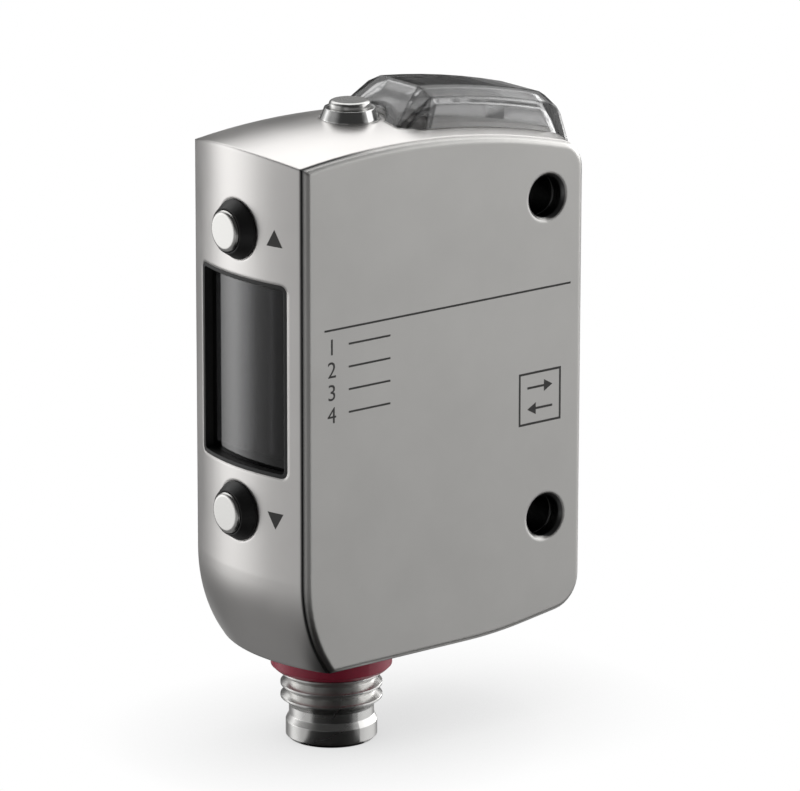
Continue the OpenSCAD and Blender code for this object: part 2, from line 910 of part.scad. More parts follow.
// The block of glowing digits behind the display window
module digit_module() {
  w = display_w - 2 * display_ledge - 2 * air;
  h = display_h - 2 * display_ledge - 2 * air;
  color([0.16, 0.16, 0.17])
    translate([0, 0, display_z])
      along_y(display_back_y + air, display_board_y)
        square([w, h], center = true);
}

// Smoked window, curved like the display face and set back from it
module display_window() {
  color([0.2, 0.2, 0.21, 0.8])
    intersection() {
      translate([0, 0, display_z])
        along_y(face_y - over, display_back_y)
          round_rect(glass_w - 2 * fit, glass_h - 2 * fit, glass_corner_r);
      translate([0, plan_y, 0])
        rod_z(glass_r, -far, far, $fn = 180);
    }
}

// Black frame that holds the window: it lines the opening and closes the joint behind the glass
module display_gasket() {
  color([0.08, 0.08, 0.08])
    intersection() {
      translate([0, 0, display_z])
        difference() {
          along_y(face_y - over, display_floor_y)
            round_rect(display_w, display_h, display_corner_r);
          along_y(face_y - 2 * over, display_back_y)
            round_rect(glass_w, glass_h, glass_corner_r);
          along_y(face_y - over, display_floor_y + over)
            square([display_w - 2 * display_ledge, display_h - 2 * display_ledge], center = true);
        }
      translate([0, plan_y, 0])
        rod_z(plan_r - fit, -far, far, $fn = 180);
    }
}

// A button standing on the origin: stem up from its foot, with a rounded cap edge
module button(length) {
  edge = cap_edge_r;
  rotate_extrude() {
    square([foot_d / 2, foot_t]);
    square([cap_r, length - edge]);
    square([cap_r - edge, length]);
    intersection() {
      translate([cap_r - edge, length - edge])
        circle(r = edge, $fn = 48);
      square([cap_r, length]);
    }
  }
}

// A button of the display face, its cap towards the user
module face_button(z) {
  translate([0, foot_y + foot_t, z])
    rotate([90, 0, 0])
      button(foot_y + foot_t - face_cap_y);
}

module up_button() {
  color([0.82, 0.82, 0.8])
    face_button(up_z);
}

module down_button() {
  color([0.82, 0.82, 0.8])
    face_button(down_z);
}

// Rubber boots round the up and down buttons, narrowing towards the caps
module button_seals() {
  lip = 0.1;
  foot_h = button_seal_depth + button_seal_foot;
  color([0.07, 0.07, 0.07])
    for (z = [up_z, down_z])
      translate([0, face_y + button_seal_depth, z])
        rotate([90, 0, 0])
          difference() {
            union() {
              rod_z(button_seal_d / 2 - fit, 0, foot_h);
              translate([0, 0, foot_h])
                cylinder(
                  r1 = button_seal_d / 2 - fit,
                  r2 = guide_r + lip,
                  h = button_seal_proud - button_seal_foot
                );
            }
            rod_z(guide_r, -over, far);
          }
}

// A small push switch with its plunger, standing on the origin
module push_switch() {
  translate([-switch_w / 2, -switch_w / 2, 0])
    cube([switch_w, switch_w, switch_h]);
  rod_z(plunger_r, switch_h, switch_h + plunger_h);
}

module face_switches() {
  color([0.25, 0.25, 0.26])
    for (z = [up_z, down_z])
      translate([0, display_board_y, z])
        rotate([90, 0, 0])
          push_switch();
}

module set_button() {
  color([0.82, 0.82, 0.8])
    translate([0, set_y, set_foot_z - foot_t])
      button(set_cap_z - set_foot_z + foot_t);
}

// Turned collar round the set button
module set_collar() {
  top_r = cap_r + 0.35;
  color([0.6, 0.6, 0.58])
    translate([0, set_y, crown_z - collar_depth])
      difference() {
        union() {
          rod_z(collar_d / 2 - fit, 0, collar_depth);
          translate([0, 0, collar_depth])
            cylinder(r1 = collar_d / 2 - fit, r2 = top_r, h = collar_h);
        }
        rod_z(guide_r, -over, far);
      }
}

module set_switch() {
  color([0.25, 0.25, 0.26])
    translate([0, set_y, top_board_z])
      push_switch();
}

// Ends of the top board along Y
top_board_back_y = display_board_y + board_t + 1;
top_board_front_y = guide_front - 0.2;

module top_board() {
  color([0.1, 0.35, 0.2])
    box(
      [blank_x, top_board_back_y, top_board_z - board_t],
      [half_w - wall - 1.4, top_board_front_y, top_board_z]
    );
}

led_h = 0.6;
led_w = 1.4;
led_pitch = 2.2;

module indicator_leds() {
  mid_y = (-guide_back + guide_front) / 2;
  color([0.9, 0.85, 0.4])
    for (y = [mid_y - led_pitch, mid_y, mid_y + led_pitch])
      box([-led_w / 2, y - led_w / 2, top_board_z], [led_w / 2, y + led_w / 2, top_board_z + led_h]);
}

// Clear block that carries the light from the top board up into the indicator
module light_guide() {
  rise = lamp_h - lamp_wall - lamp_bevel_h;
  low_z = top_board_z + led_h;
  color([0.85, 0.88, 0.9, 0.6])
    along_x(-guide_w / 2, guide_w / 2)
      polygon([
        [-guide_back, low_z], [guide_front, low_z],
        [guide_front, crown_over(guide_front) + rise], [-guide_back, crown_over(-guide_back) + rise]
      ]);
}

module indicator_cover() {
  color([0.3, 0.3, 0.31, 0.7])
    difference() {
      lamp_form(0);
      housing_form(lamp_seat);
      lamp_hollow(0);
      translate([0, set_y, 0])
        rod_z(lamp_scallop_r, 0, far);
    }
}

// Thin seal that follows the indicator's edge in its seat
module indicator_seal() {
  color([0.08, 0.08, 0.08])
    difference() {
      intersection() {
        lamp_form(0);
        housing_form(lamp_seat);
      }
      housing_form(lamp_seat + seal_t);
      lamp_hollow(0);
      translate([0, set_y, 0])
        rod_z(lamp_scallop_r, 0, far);
    }
}

// Half section of the connector's thread, one crest at a time
function thread_points() =
  let (crest = thread_d / 2, root = crest - thread_depth, flat = 0.08, first = ring_low_z - 0.3)
  [for (i = [0 : floor((thread_l - 0.3) / thread_pitch)])
    let (z = first - i * thread_pitch)
    for (p = [[crest, z + flat], [crest, z - flat], [root, max(z - thread_pitch / 2, thread_low_z)]])
    p];

module connector_shell() {
  root = thread_d / 2 - thread_depth;
  edge = 0.25;
  relief = 0.05;
  run_out = 0.2;
  color([0.72, 0.72, 0.7])
    translate([0, plug_y, 0])
      rotate_extrude()
        polygon(concat(
          [
            [socket_d / 2, boss_top_z], [plug_r - fit, boss_top_z],
            [plug_r - fit, ring_low_z], [root, ring_low_z - relief]
          ],
          thread_points(),
          [
            [root, thread_low_z - relief], [neck_d / 2, thread_low_z - run_out], [neck_d / 2, snap_top_z + edge],
            [snap_d / 2 - edge, snap_top_z + edge], [snap_d / 2, snap_top_z - edge],
            [snap_d / 2, plug_end_z + edge], [snap_d / 2 - edge, plug_end_z],
            [socket_d / 2 + edge / 2, plug_end_z], [socket_d / 2, plug_end_z + edge / 2]
          ]
        ));
}

module connector_ring() {
  edge = 0.3;
  color([0.62, 0.12, 0.2])
    translate([0, plug_y, 0])
      rotate_extrude()
        polygon([
          [plug_r, bottom_z], [ring_d / 2, bottom_z], [ring_d / 2, ring_low_z + edge],
          [ring_d / 2 - edge, ring_low_z], [plug_r, ring_low_z]
        ]);
}

// Places of the four contact pins, seen along the connector's axis
module at_pins() {
  for (a = [45 : 90 : 315])
    translate([pin_circle_r * cos(a), plug_y + pin_circle_r * sin(a), 0])
      children();
}

module connector_insert() {
  color([0.1, 0.1, 0.1])
    difference() {
      translate([0, plug_y, 0])
        rod_z(socket_d / 2 - fit, ring_low_z, boss_top_z);
      at_pins()
        rod_z(pin_d / 2 + fit, -far, far);
    }
}

module contact_pins() {
  reach = 1;
  color([0.85, 0.7, 0.35])
    at_pins() {
      rod_z(pin_d / 2, plug_end_z + reach + 0.2, boss_top_z + board_t + reach);
      translate([0, 0, plug_end_z + reach])
        cylinder(r1 = pin_d / 2 - 0.2, r2 = pin_d / 2, h = 0.2);
    }
}

module connector_board() {
  half_x = plug_r + 0.6;
  half_y = plug_r + 0.9;
  color([0.1, 0.35, 0.2])
    difference() {
      box([-half_x, plug_y - half_y, boss_top_z], [half_x, plug_y + half_y, boss_top_z + board_t]);
      at_pins()
        rod_z(pin_d / 2 + fit, -far, far);
    }
}

// A flexible strip that lies on the main board and turns onto its neighbour
module strip_section(long, foot) {
  polygon([[0, 0], [foot, 0], [foot, flex_t], [flex_t, flex_t], [flex_t, long], [0, long]]);
}

strip_foot = 1.2;
strip_lap = 1;
display_strip_w = 5;
display_strip_drop = 0.6;
sensor_strip_w = 1.6;
sensor_strip_drop = 4;
end_strip_w = 3;
top_strip_inset = 0.4;
plug_strip_inset = 1;

module display_flex() {
  end_y = display_board_y + board_t;
  color([0.75, 0.5, 0.15])
    translate([strip_x, end_y, -display_strip_drop - display_strip_w])
      linear_extrude(display_strip_w)
        strip_section(main_board_back_y - end_y + strip_lap, strip_foot);
}

module sensor_flex() {
  end_y = holder_back_y - board_t;
  color([0.75, 0.5, 0.15])
    translate([strip_x, end_y, emitter_z - sensor_strip_drop])
      mirror([0, 1, 0])
        linear_extrude(sensor_strip_w)
          strip_section(end_y - main_board_front_y + strip_lap, strip_foot);
}

module top_flex() {
  end_z = top_board_z - board_t;
  color([0.75, 0.5, 0.15])
    translate([strip_x, main_board_front_y - top_strip_inset, end_z])
      mirror([0, 0, 1])
        rotate([90, 0, 0])
          linear_extrude(end_strip_w)
            strip_section(end_z - main_board_top_z + strip_lap, strip_foot);
}

module connector_flex() {
  end_z = boss_top_z + board_t;
  color([0.75, 0.5, 0.15])
    translate([strip_x, main_board_front_y - plug_strip_inset, end_z])
      rotate([90, 0, 0])
        linear_extrude(end_strip_w)
          strip_section(main_board_low_z - end_z + strip_lap, strip_foot);
}

main_case();
side_cover();
cover_seal();
lens_window();
window_gasket();
optics_holder();
emitter_lens();
receiver_lens();
laser_diode();
image_sensor();
sensor_board();
main_board();
board_chips();
display_board();
digit_module();
display_window();
display_gasket();
up_button();
down_button();
button_seals();
face_switches();
set_button();
set_collar();
set_switch();
top_board();
indicator_leds();
light_guide();
indicator_cover();
indicator_seal();
connector_shell();
connector_ring();
connector_insert();
contact_pins();
connector_board();
display_flex();
top_flex();
sensor_flex();
connector_flex();
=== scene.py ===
# %% [markdown]
# # Dressing a small photoelectric sensor
#
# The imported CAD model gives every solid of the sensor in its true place. This lesson adds what a
# camera sees: satin steel, smoked plastic, a bright plated plug, printed marks and soft studio
# light. Each cell makes one thing and prints what it made.

# %% Load the frame
import math

import bpy
from mathutils import Matrix, Vector


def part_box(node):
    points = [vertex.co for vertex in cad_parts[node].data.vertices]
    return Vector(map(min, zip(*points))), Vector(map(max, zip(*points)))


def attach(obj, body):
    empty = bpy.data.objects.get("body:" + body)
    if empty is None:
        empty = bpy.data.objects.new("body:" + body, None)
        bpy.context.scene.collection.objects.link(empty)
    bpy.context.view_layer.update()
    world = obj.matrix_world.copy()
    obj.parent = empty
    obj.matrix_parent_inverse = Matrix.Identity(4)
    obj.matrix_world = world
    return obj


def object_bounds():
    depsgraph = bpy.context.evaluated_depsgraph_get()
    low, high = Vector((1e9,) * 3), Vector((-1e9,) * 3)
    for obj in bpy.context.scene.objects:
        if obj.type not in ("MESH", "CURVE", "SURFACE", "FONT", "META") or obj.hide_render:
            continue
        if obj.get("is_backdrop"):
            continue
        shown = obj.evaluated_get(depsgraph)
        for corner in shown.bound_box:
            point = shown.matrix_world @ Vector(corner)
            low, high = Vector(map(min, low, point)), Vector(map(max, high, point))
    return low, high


MM = 0.001
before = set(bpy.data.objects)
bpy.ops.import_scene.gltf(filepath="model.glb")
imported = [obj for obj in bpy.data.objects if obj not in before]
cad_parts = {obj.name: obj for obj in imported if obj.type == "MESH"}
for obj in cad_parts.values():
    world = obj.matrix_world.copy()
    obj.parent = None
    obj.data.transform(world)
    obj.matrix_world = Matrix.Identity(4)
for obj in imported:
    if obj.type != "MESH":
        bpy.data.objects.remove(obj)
cad_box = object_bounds()

# %% [markdown]
# ## The camera
#
# A product picture of so small a thing is taken from far away through a long lens, so its
# edges stay nearly parallel. The camera below was fitted to the edges of the part: its place
# is given by two angles, a slight roll and the distance, all in millimetres, and the focal
# length follows from the number of pixels that one unit of slope takes up.

# %% Place the camera
PICTURE_WIDTH = 800
FOCAL_PIXELS = 6447
SENSOR_WIDTH = 36
NEAR_CLIP = 10 * MM
DISTANCE = 501.06
AZIMUTH, ELEVATION, ROLL = (math.radians(a) for a in (51.39, 15.42, 0.076))
OFF_RIGHT, OFF_UP = 6.963, 4.338

back = Vector((
    math.sin(AZIMUTH) * math.cos(ELEVATION),
    -math.cos(AZIMUTH) * math.cos(ELEVATION),
    math.sin(ELEVATION),
))
level_right = (-back).cross(Vector((0, 0, 1))).normalized()
level_up = level_right.cross(-back)
cam_right = level_right * math.cos(ROLL) + level_up * math.sin(ROLL)
cam_up = -level_right * math.sin(ROLL) + level_up * math.cos(ROLL)
cam_place = (back * DISTANCE - cam_right * OFF_RIGHT - cam_up * OFF_UP) * MM

camera_data = bpy.data.cameras.new("studio_camera")
camera_data.sensor_width = SENSOR_WIDTH
camera_data.lens = SENSOR_WIDTH * FOCAL_PIXELS / PICTURE_WIDTH
camera_data.clip_start = NEAR_CLIP
camera = bpy.data.objects.new("studio_camera", camera_data)
bpy.context.scene.collection.objects.link(camera)
turn = Matrix((cam_right, cam_up, back)).transposed().to_4x4()
camera.matrix_world = Matrix.Translation(cam_place) @ turn
bpy.context.scene.camera = camera
print("camera at", [round(v, 4) for v in cam_place], "lens", round(camera_data.lens, 1))

# %% [markdown]
# ## Small helpers for node materials
#
# Every finish here is a node tree. Short helpers keep those trees readable: one makes a node and
# sets its sockets, one joins two sockets, one does a step of arithmetic, one turns a measure into
# a ramp between two values, and one starts a material with an empty tree.

# %% Node helpers
def add_node(tree, kind, **settings):
    """A new node; names with a capital letter set input sockets, the others set properties."""
    node = tree.nodes.new(kind)
    for name, value in settings.items():
        if name[0].isupper():
            node.inputs[name.replace("_", " ")].default_value = value
        else:
            setattr(node, name, value)
    return node


def join(tree, source, target, out=0):
    """Joins an output of source, by number or name, to the given input socket."""
    tree.links.new(source.outputs[out], target)


def calculate(tree, operation, first, second=None, third=None):
    """One step of arithmetic; each input is a socket or a plain number."""
    node = tree.nodes.new("ShaderNodeMath")
    node.operation = operation
    for k, value in enumerate((first, second, third)):
        if value is None:
            continue
        if isinstance(value, (int, float)):
            node.inputs[k].default_value = value
        else:
            tree.links.new(value, node.inputs[k])
    return node.outputs[0]


def ramp(tree, value, span, result=(0, 1), eased=False):
    """Runs over the pair result while value runs over the pair span, and stays at its ends."""
    node = add_node(tree, "ShaderNodeMapRange")
    if eased:
        node.interpolation_type = "SMOOTHSTEP"
    tree.links.new(value, node.inputs["Value"])
    node.inputs["From Min"].default_value, node.inputs["From Max"].default_value = span
    node.inputs["To Min"].default_value, node.inputs["To Max"].default_value = result
    return node.outputs["Result"]


def new_material(name):
    """A material with one surface shader and its output."""
    material = bpy.data.materials.new(name)
    material.use_nodes = True
    tree = material.node_tree
    tree.nodes.clear()
    surface = add_node(tree, "ShaderNodeBsdfPrincipled")
    output = add_node(tree, "ShaderNodeOutputMaterial")
    join(tree, surface, output.inputs["Surface"])
    return material, tree, surface


print("helpers ready")

# %% [markdown]
# ## The studio
#
# Steel has hardly any colour of its own: it shows the room. The room here is the world, a dark
# space with soft rectangular panels. Each has a compass direction and a height in degrees, a
# half width and a half height, and a strength that fades at its rim. Bearing 0 is straight in
# front of the display face, and bearings grow towards the blank side.

# %% Measure the direction of each ray
world = bpy.data.worlds.new("studio")
bpy.context.scene.world = world
world.use_nodes = True
room = world.node_tree
room.nodes.clear()
ray_direction = add_node(room, "ShaderNodeTexCoord")
parts = add_node(room, "ShaderNodeSeparateXYZ")
join(room, ray_direction, parts.inputs[0], "Generated")
minus_x = calculate(room, "MULTIPLY", parts.outputs[0], -1)
minus_y = calculate(room, "MULTIPLY", parts.outputs[1], -1)
bearing = calculate(room, "DEGREES", calculate(room, "ARCTAN2", minus_x, minus_y))
height = calculate(room, "DEGREES", calculate(room, "ARCSINE", parts.outputs[2]))
print("bearing and height are ready")

# %% [markdown]
# ## Panels and backdrop
#
# A tall strip light stands in front of the display face, towards the blank side, with a dimmer
# strip beyond it. A large soft box hangs behind the top, and a grey wall closes the far right.
# A thin light catches the cover's sloped edge, and a small one the rims of the mounting holes.
# Dim panels low down stand for the floor, the table and the foot of the backdrop. Between them,
# where the camera stands, the room stays dark: that is what draws the black bands into bright
# metal. The white backdrop fills the picture for the camera. Clear plastic sees it where it lies
# behind the sensor, and metal sees a dimmer part of it.

# %% Hang the panels
def window(value, centre, half, soft):
    """1 within half of the centre, falling to 0 over twice soft; both in degrees."""
    offset = calculate(room, "WRAP", calculate(room, "SUBTRACT", value, centre), 180, -180)
    away = calculate(room, "ABSOLUTE", offset)
    return ramp(room, away, (half + soft, half - soft), eased=True)


def panel(place, size, soft, strength):
    """Brightness of one panel; place, size and soft are pairs of bearing and height."""
    across = window(bearing, place[0], size[0], soft[0])
    upward = window(height, place[1], size[1], soft[1])
    return calculate(room, "MULTIPLY", calculate(room, "MULTIPLY", across, upward), strength)


PANELS = {
    "strip light": ((54, -2), (16, 17), (12, 9), 1.6),
    "strip's far side": ((75, -2), (19, 17), (6, 9), 0.36),
    "front wall": ((19, 0), (19, 24), (14, 14), 0.57),
    "soft box": ((125, 60), (62, 38), (25, 9), 1.5),
    "low backdrop": ((125, -18), (22, 12), (10, 6), 0.3),
    "right wall": ((-162, 10), (36, 28), (20, 16), 1.55),
    "small light": ((166, 7), (11, 9), (4, 4), 4.0),
    "floor glow": ((60, -52), (50, 26), (25, 12), 0.2),
    "far floor": ((156, -50), (30, 20), (12, 10), 0.35),
    "thin light": ((-31, -12), (12, 18), (8, 8), 0.3),
    "table on the camera's side": ((-52, -32), (60, 24), (20, 10), 0.2),
}
DARK_ROOM = 0.045
brightness = DARK_ROOM
for name, (place, size, soft, strength) in PANELS.items():
    brightness = calculate(room, "ADD", panel(place, size, soft, strength), brightness)
print("panels:", ", ".join(PANELS))

# %% Hang the backdrop
CLEAR_VIEW = (34, 6)
METAL_VIEW = (12, 2)
METAL_SHARE = 0.12
behind_bearing = math.degrees(math.atan2(back.x, back.y))
behind_height = -math.degrees(ELEVATION)


def behind(half, soft):
    """1 for rays that leave the sensor on the far side of it, as the camera sees it."""
    across = window(bearing, behind_bearing, half, soft)
    return calculate(room, "MULTIPLY", across, window(height, behind_height, half, soft))


seen = add_node(room, "ShaderNodeLightPath")
through_clear = calculate(
    room, "MULTIPLY", seen.outputs["Is Transmission Ray"], behind(*CLEAR_VIEW)
)
in_metal = calculate(room, "MULTIPLY", seen.outputs["Is Glossy Ray"], behind(*METAL_VIEW))
dimmed = calculate(room, "MULTIPLY", in_metal, METAL_SHARE)
white_share = calculate(
    room, "MAXIMUM",
    seen.outputs["Is Camera Ray"],
    calculate(room, "MAXIMUM", through_clear, dimmed),
)
studio_light = add_node(room, "ShaderNodeBackground", Color=(1, 1, 1, 1))
room.links.new(brightness, studio_light.inputs["Strength"])
backdrop = add_node(room, "ShaderNodeBackground", Color=(1, 1, 1, 1))
choice = add_node(room, "ShaderNodeMixShader")
room.links.new(white_share, choice.inputs[0])
join(room, studio_light, choice.inputs[1])
join(room, backdrop, choice.inputs[2])
room_out = add_node(room, "ShaderNodeOutputWorld")
join(room, choice, room_out.inputs["Surface"])
bpy.context.scene.view_settings.view_transform = "Standard"
print("backdrop at bearing", round(behind_bearing, 1), "height", round(behind_height, 1))

# %% [markdown]
# ## The floor
#
# The sensor stands on the end of its plug on a white table. The table is a small disc, white to
# the camera and darker where the sensor keeps light from it, which ambient occlusion measures.
# Other rays pass it, so that the steel shows the panels down to the table's edge.

# %% Lay the floor
FLOOR_CORNERS = 96
FLOOR_RADIUS = 100 * MM
FLOOR_Y = -11 * MM
FLOOR_GAP = 0.01 * MM
SHADOW_REACH = 14 * MM
DARKEST_SHADOW = 0.6
floor_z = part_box("connector_shell")[0].z
bpy.ops.mesh.primitive_circle_add(
    vertices=FLOOR_CORNERS,
    radius=FLOOR_RADIUS,
    fill_type="NGON",
    location=(0, FLOOR_Y, floor_z - FLOOR_GAP),
)
floor = bpy.context.active_object
floor.name = "floor"
floor_paint = bpy.data.materials.new("white_table")
floor_paint.use_nodes = True
tree = floor_paint.node_tree
tree.nodes.clear()
shade = add_node(tree, "ShaderNodeAmbientOcclusion", samples=8, Distance=SHADOW_REACH)
grey = ramp(tree, shade.outputs["AO"], (0, 1), (DARKEST_SHADOW, 1))
for_camera = add_node(tree, "ShaderNodeEmission")
tree.links.new(grey, for_camera.inputs["Strength"])
for_light = add_node(tree, "ShaderNodeBsdfTransparent")
ray = add_node(tree, "ShaderNodeLightPath")
which = add_node(tree, "ShaderNodeMixShader")
join(tree, ray, which.inputs[0], "Is Camera Ray")
join(tree, for_light, which.inputs[1])
join(tree, for_camera, which.inputs[2])
output = add_node(tree, "ShaderNodeOutputMaterial")
join(tree, which, output.inputs["Surface"])
floor.data.materials.append(floor_paint)
floor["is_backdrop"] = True
print("floor at", round(floor_z / MM, 2), "mm")

# %% [markdown]
# ## A black card for the plug
#
# Bright plating looks bright only beside something black. A card lies just under the table's
# surface on the camera's side of the plug. The camera can't see it, but the plug's mirror
# finish does, and gets its dark middle band from it. The card is a short wide fan for the end of
# the plug, with a longer and narrower one for the thread, which stands higher and looks further.

# %% Lay the card
plug_low, plug_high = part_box("connector_shell")
plug_y = (plug_low.y + plug_high.y) / 2
# Each sector has its two end angles in degrees, its reach and its depth below the plug's end.
CARD_SECTORS = (((-102, -6), 20 * MM, 0.04 * MM), ((-78, -26), 42 * MM, 0.05 * MM))
CARD_STEPS = 9
CARD_COLOR = (0.01, 0.01, 0.01, 1)
CARD_ROUGHNESS = 0.9
corners, faces = [], []
for (first, last), reach, depth in CARD_SECTORS:
    faces.append(tuple(range(len(corners), len(corners) + CARD_STEPS + 2)))
    corners.append((0, plug_y, floor_z - depth))
    for k in range(CARD_STEPS + 1):
        angle = math.radians(first + (last - first) * k / CARD_STEPS)
        out_x, out_y = math.sin(angle) * reach, math.cos(angle) * reach
        corners.append((-out_x, plug_y - out_y, floor_z - depth))
card_mesh = bpy.data.meshes.new("black_card")
card_mesh.from_pydata(corners, [], faces)
card = bpy.data.objects.new("black_card", card_mesh)
bpy.context.scene.collection.objects.link(card)
card_paint, tree, surface = new_material("black_card")
surface.inputs["Base Color"].default_value = CARD_COLOR
surface.inputs["Roughness"].default_value = CARD_ROUGHNESS
card_mesh.materials.append(card_paint)
card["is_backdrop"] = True
print("card's sectors:", len(faces))

# %% [markdown]
# ## Satin steel
#
# The case and its cover are stainless steel with a fine, even satin. The look comes from a wide
# highlight, a faint cloudiness in it, very fine grain, and edges that are broken by a hair. The
# shader's bevel node rounds those edges, which leaves the solids alone. Shade is painted into the
# two bores for the mounting screws: their insides are painted a dull dark. Their axes run along X,
# so the distance from an axis in the YZ plane tells the bore from the satin round it. Shade is
# painted on the sloped rim of each bore as well, except at its lower front, where it faces the
# light. The joint line between the case and its cover is dark because light hardly gets in or out
# of it; that shade is painted into the steel's colour, and the steel on both sides of it fades into
# that painted dark. The painted shade is darkest beside the display face, and it ends along the
# crown and the underside.

# %% Tell where shade is painted in and round the bores
HOLE_HEIGHT = 12.7 * MM
HOLE_RADIUS = 1.6 * MM
# How far the painted shade reaches past the bore: at the lit part of its rim, and at the rest.
RIM_SHADE = (0.06 * MM, 0.26 * MM)
RIM_SHADE_FADE = 0.045 * MM
# Round the rim, (height + place along Y) / radius runs from -1.41 at the lower front to 1.41.
LIT_TURN = (-1.1, -0.5)
# The colour of the painted shade in the bores, on their rims and along the joint line.
PAINTED_SHADE_STEEL = (0.15, 0.15, 0.15)


def outside_bore_shade(tree, place):
    """0 where shade is painted, inside the mounting bores and on the shaded part of their rims; 1
    everywhere else.
    """
    axes = add_node(tree, "ShaderNodeSeparateXYZ")
    join(tree, place, axes.inputs[0], "Object")
    y, z = axes.outputs[1], axes.outputs[2]
    beyond = calculate(tree, "SUBTRACT", calculate(tree, "ABSOLUTE", z), HOLE_HEIGHT)
    y_squared = calculate(tree, "POWER", y, 2)
    radius = calculate(tree, "SQRT", calculate(tree, "MULTIPLY_ADD", beyond, beyond, y_squared))
    above = calculate(tree, "MULTIPLY", calculate(tree, "SIGN", z), beyond)
    turned = calculate(tree, "DIVIDE", calculate(tree, "ADD", above, y), radius)
    shade_ends = (HOLE_RADIUS + RIM_SHADE[0], HOLE_RADIUS + RIM_SHADE[1])
    shade_end = ramp(tree, turned, LIT_TURN, shade_ends, eased=True)
    return ramp(tree, calculate(tree, "SUBTRACT", radius, shade_end), (-RIM_SHADE_FADE, 0))


print("bores at", HOLE_HEIGHT / MM, "mm above and below the origin")

# %% Tell where shade is painted along the joint line
JOINT_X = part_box("main_case")[1].x + 0.075 * MM
# Painted shade along the joint: how far it fades, its darkest share, and where it ends towards the
# crown and the underside.
JOINT_SHADE_FADE = (0.07 * MM, 0.22 * MM)
JOINT_SHADE_DARKEST = 0.04
JOINT_SHADE_END = (-18 * MM, -13 * MM)
JOINT_SHADE_LEAN = 0.15


def painted_joint_shade(tree, place):
    """Painted shade along the joint line: small at the line beside the display face and 1 away from
    it.
    """
    axes = add_node(tree, "ShaderNodeSeparateXYZ")
    join(tree, place, axes.inputs[0], "Object")
    away = calculate(tree, "ABSOLUTE", calculate(tree, "SUBTRACT", axes.outputs[0], JOINT_X))
    near = ramp(tree, away, JOINT_SHADE_FADE, (JOINT_SHADE_DARKEST, 1), eased=True)
    leaning = calculate(tree, "MULTIPLY_ADD", axes.outputs[2], JOINT_SHADE_LEAN, axes.outputs[1])
    return calculate(tree, "MAXIMUM", near, ramp(tree, leaning, JOINT_SHADE_END, eased=True))


print("joint line at", round(JOINT_X / MM, 3), "mm")

# %% Helpers for every finish
def mottled(tree, noise, color, darker, lighter):
    """A colour that wanders between a darker and a lighter share of itself."""
    mottle = add_node(tree, "ShaderNodeMix", data_type="RGBA")
    mottle.inputs["A"].default_value = (*[c * darker for c in color], 1)
    mottle.inputs["B"].default_value = (*[min(1, c * lighter) for c in color], 1)
    join(tree, noise, mottle.inputs["Factor"], "Fac")
    return mottle.outputs["Result"]


def wander_roughness(tree, surface, noise, lowest, highest):
    """Lets the roughness follow the noise between two values."""
    spread = ramp(tree, noise.outputs["Fac"], (0, 1), (lowest, highest))
    tree.links.new(spread, surface.inputs["Roughness"])


def grain_and_edges(tree, surface, grain, strength, depth, edge, samples):
    """Bumps the surface by a fine grain and breaks its edges softly, edge in millimetres."""
    soft_edge = add_node(tree, "ShaderNodeBevel", samples=samples, Radius=edge * MM)
    bump = add_node(tree, "ShaderNodeBump", Strength=strength, Distance=depth)
    join(tree, grain, bump.inputs["Height"], "Fac")
    join(tree, soft_edge, bump.inputs["Normal"])
    join(tree, bump, surface.inputs["Normal"])


print("finish helpers ready")

# %% Make the steel finishes
CLOUD_SCALE = 160
CLOUD_TINT = (0.9, 1.1)
CLOUD_SPREAD = 0.04
GRAIN_STRENGTH = 0.12
GRAIN_DEPTH = 0.02 * MM


def satin_steel(name, color, roughness, grain_stretch, edge, housing=False):
    """Metal with fine grain drawn out along one direction and softly broken edges."""
    material, tree, surface = new_material(name)
    surface.inputs["Metallic"].default_value = 1
    place = add_node(tree, "ShaderNodeTexCoord")
    stretch = add_node(tree, "ShaderNodeMapping")
    stretch.inputs["Scale"].default_value = grain_stretch
    join(tree, place, stretch.inputs["Vector"], "Object")
    grain = add_node(tree, "ShaderNodeTexNoise", Scale=1.0, Detail=3.0, Roughness=0.6)
    join(tree, stretch, grain.inputs["Vector"])
    clouds = add_node(tree, "ShaderNodeTexNoise", Scale=CLOUD_SCALE, Detail=3.0)
    join(tree, place, clouds.inputs["Vector"], "Object")
    finished = mottled(tree, clouds, color, *CLOUD_TINT)
    # On the housing, shade is painted into the colour: in the bores, on their rims and along the
    # joint line.
    if housing:
        lit = calculate(tree, "MULTIPLY", outside_bore_shade(tree, place), painted_joint_shade(tree, place))
        shaded = add_node(tree, "ShaderNodeMix", data_type="RGBA")
        shaded.inputs["A"].default_value = (*PAINTED_SHADE_STEEL, 1)
        tree.links.new(lit, shaded.inputs["Factor"])
        tree.links.new(finished, shaded.inputs["B"])
        finished = shaded.outputs["Result"]
    tree.links.new(finished, surface.inputs["Base Color"])
    wander_roughness(tree, surface, clouds, roughness - CLOUD_SPREAD, roughness + CLOUD_SPREAD)
    grain_and_edges(tree, surface, grain, GRAIN_STRENGTH, GRAIN_DEPTH, edge, samples=6)
    return material


